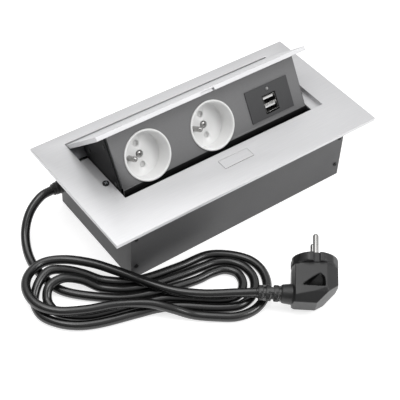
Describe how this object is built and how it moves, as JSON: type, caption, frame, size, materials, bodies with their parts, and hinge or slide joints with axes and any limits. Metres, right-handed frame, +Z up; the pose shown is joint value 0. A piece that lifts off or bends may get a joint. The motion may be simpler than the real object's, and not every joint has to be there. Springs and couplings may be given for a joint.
{
  "type": "flip-up desk socket box",
  "caption": "Desk-top tray with a sprung flip-up lid carrying mains sockets and stacked USB ports, opened by a release button, with its mains lead and angled plug",
  "frame": {"origin": "middle of the object without its cord, on the surface that the tray stands on", "axes": "+X along the long side, +Y towards the hinge, +Z up"},
  "size_m": [0.3353, 0.2395, 0.1115],
  "materials": {
    "brushed_plate": "satin silver, fine brushing",
    "brushed_lid": "satin silver, fine brushing",
    "tray_paint": "dark grey satin powder coat",
    "black_screws": "black oxide",
    "zinc_steel": "zinc plated",
    "black_nylon": "matt black",
    "cord_rubber": "satin black",
    "plug_rubber": "satin dark grey",
    "nickel": "nickel plated",
    "panel_paint": "mid grey fine matt",
    "cheek_paint": "dark grey matt",
    "white_plastic": "satin white",
    "grey_plastic": "light grey",
    "shutter_plastic": "light grey",
    "contact_brass": "plain brass",
    "usb_plastic": "dark grey matt",
    "board_green": "solder mask",
    "led_clear": "clear diffuse"
  },
  "bodies": {
    "tray": {"frame_plate": "brushed_plate", "housing_shell": "tray_paint", "housing_front_panel": "tray_paint", "housing_rear_panel": "tray_paint", "housing_screws": "black_screws", "frame_screws": "black_screws", "hinge_bracket_left": "zinc_steel", "hinge_bracket_right": "zinc_steel", "hinge_pins": "zinc_steel", "hinge_cover": "zinc_steel", "torsion_springs": "zinc_steel", "latch_guide": "zinc_steel", "button_springs": "zinc_steel", "cable_gland": "black_nylon", "gland_nut": "black_nylon", "cord_clamp": "black_nylon", "cord": "cord_rubber", "plug_body": "plug_rubber", "plug_pins": "nickel", "plug_earth_clips": "nickel", "plug_strain_relief": "cord_rubber"},
    "flip_module": {"lid": "brushed_lid", "latch_keeper": "brushed_lid", "socket_panel": "panel_paint", "left_cheek": "cheek_paint", "right_cheek": "cheek_paint", "cheek_screws": "black_screws", "module_back_cover": "cheek_paint", "socket_insert_1": "white_plastic", "socket_insert_2": "white_plastic", "socket_back_1": "grey_plastic", "socket_back_2": "grey_plastic", "earth_pins": "nickel", "live_contacts": "contact_brass", "centre_screws": "nickel", "usb_plate": "usb_plastic", "usb_connector": "nickel", "usb_circuit_board": "board_green", "status_led": "led_clear", "terminal_block": "grey_plastic"},
    "release_button": {"release_button": "brushed_plate"},
    "latch_bolt": {"latch_bolt": "zinc_steel"},
    "shutter_1": {"shutter_1": "shutter_plastic"},
    "shutter_2": {"shutter_2": "shutter_plastic"}
  },
  "joints": [
    {"name": "module_flip", "type": "hinge", "parent": "tray", "child": "flip_module", "pos_m": [0, 0.0465, 0.049], "axis": [1, 0, 0], "range_deg": [0, 43], "stiffness_Nm_per_rad": 0.9, "springref_deg": -51.57},
    {"name": "button_press", "type": "slide", "parent": "tray", "child": "release_button", "axis": [0, 0, -1], "range_m": [0, 0.0025], "stiffness_N_per_m": 600, "springref_m": -0.002, "deforming": ["button_springs"]},
    {"name": "latch_slide", "type": "slide", "parent": "tray", "child": "latch_bolt", "axis": [0, -1, 0], "range_m": [0, 0.0025]},
    {"name": "shutter_1_slide", "type": "slide", "parent": "flip_module", "child": "shutter_1", "axis": [1, 0, 0], "range_m": [0, 0.0075], "stiffness_N_per_m": 80, "springref_m": -0.002},
    {"name": "shutter_2_slide", "type": "slide", "parent": "flip_module", "child": "shutter_2", "axis": [1, 0, 0], "range_m": [0, 0.0075], "stiffness_N_per_m": 80, "springref_m": -0.002}
  ],
  "couplings": [
    {"joint": "latch_slide", "follows": "button_press", "ratio": 1}
  ]
}
